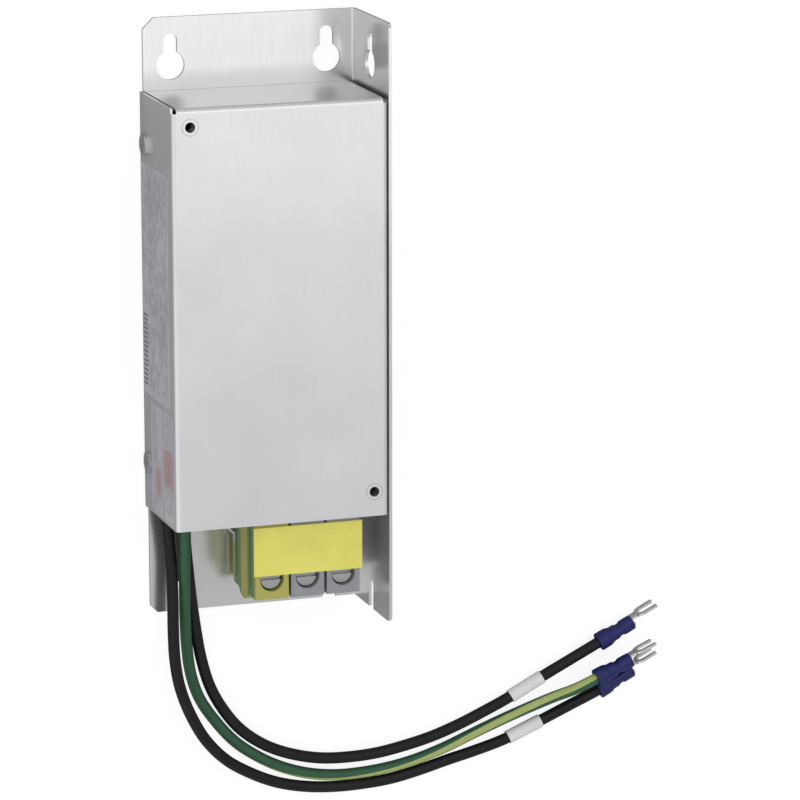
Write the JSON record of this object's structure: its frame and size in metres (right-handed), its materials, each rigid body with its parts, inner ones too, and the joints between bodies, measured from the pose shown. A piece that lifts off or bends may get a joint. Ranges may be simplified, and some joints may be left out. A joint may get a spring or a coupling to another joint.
{
  "type": "footprint line filter",
  "caption": "Slim footprint line filter in a folded steel housing, with a terminal block at the lower end and crimped output leads.",
  "frame": {"origin": "centre of the flat mounting face of the back plate", "axes": "+Z out of the wall towards the front cover, +Y towards the keyhole end, +X towards the side flange; the leads leave towards -Y"},
  "size_m": [0.1779, 0.2624, 0.037],
  "materials": {
    "zinc_sheet": "bright zinc plated sheet steel",
    "screw_steel": "plated steel fasteners",
    "terminal_grey": "grey polyamide with a lilac tint",
    "terminal_green": "green and yellow polyamide",
    "strip_yellow": "pale yellow marking strip",
    "bushing_black": "black rubber",
    "lead_black": "black lead insulation",
    "lead_earth": "green lead insulation with a yellow stripe",
    "marker_white": "white marker tube",
    "sleeve_blue": "dark blue insulated crimp sleeve",
    "tin": "tinned copper",
    "brass": "brass current bars",
    "board_green": "coated glass fibre board",
    "ferrite": "coated ferrite",
    "enamel_wire": "enamelled copper wire",
    "nylon": "natural nylon",
    "capacitor_yellow": "yellow capacitor case",
    "disc_blue": "blue dipped disc",
    "resistor_beige": "beige coating"
  },
  "bodies": {
    "root": {"chassis": "zinc_sheet", "cover": "zinc_sheet", "end_plate": "zinc_sheet", "cover_screws": "screw_steel", "drive_nuts": "screw_steel", "lead_bushing": "bushing_black", "terminal_rail": "zinc_sheet", "terminal_earth": "terminal_green", "terminal_line": "terminal_grey", "terminal_neutral": "terminal_grey", "terminal_screws": "screw_steel", "terminal_cages": "screw_steel", "terminal_bars": "brass", "terminal_strip": "strip_yellow", "circuit_board": "board_green", "board_standoffs": "screw_steel", "board_screws": "screw_steel", "choke_base": "nylon", "choke_core": "ferrite", "choke_divider": "nylon", "choke_winding_line": "enamel_wire", "choke_winding_neutral": "enamel_wire", "capacitor_input": "capacitor_yellow", "capacitor_output": "capacitor_yellow", "disc_capacitors": "disc_blue", "discharge_resistor": "resistor_beige", "earth_stud": "screw_steel", "earth_rings": "tin", "earth_nut": "screw_steel", "inner_wires": "lead_black", "inner_earth_wires": "lead_earth", "lead_black_outer": "lead_black", "lead_earth": "lead_earth", "lead_black_inner": "lead_black", "marker_outer": "marker_white", "marker_inner": "marker_white", "sleeve_outer": "sleeve_blue", "sleeve_earth": "sleeve_blue", "sleeve_inner": "sleeve_blue", "fork_outer": "tin", "fork_earth": "tin", "fork_inner": "tin"}
  },
  "joints": []
}
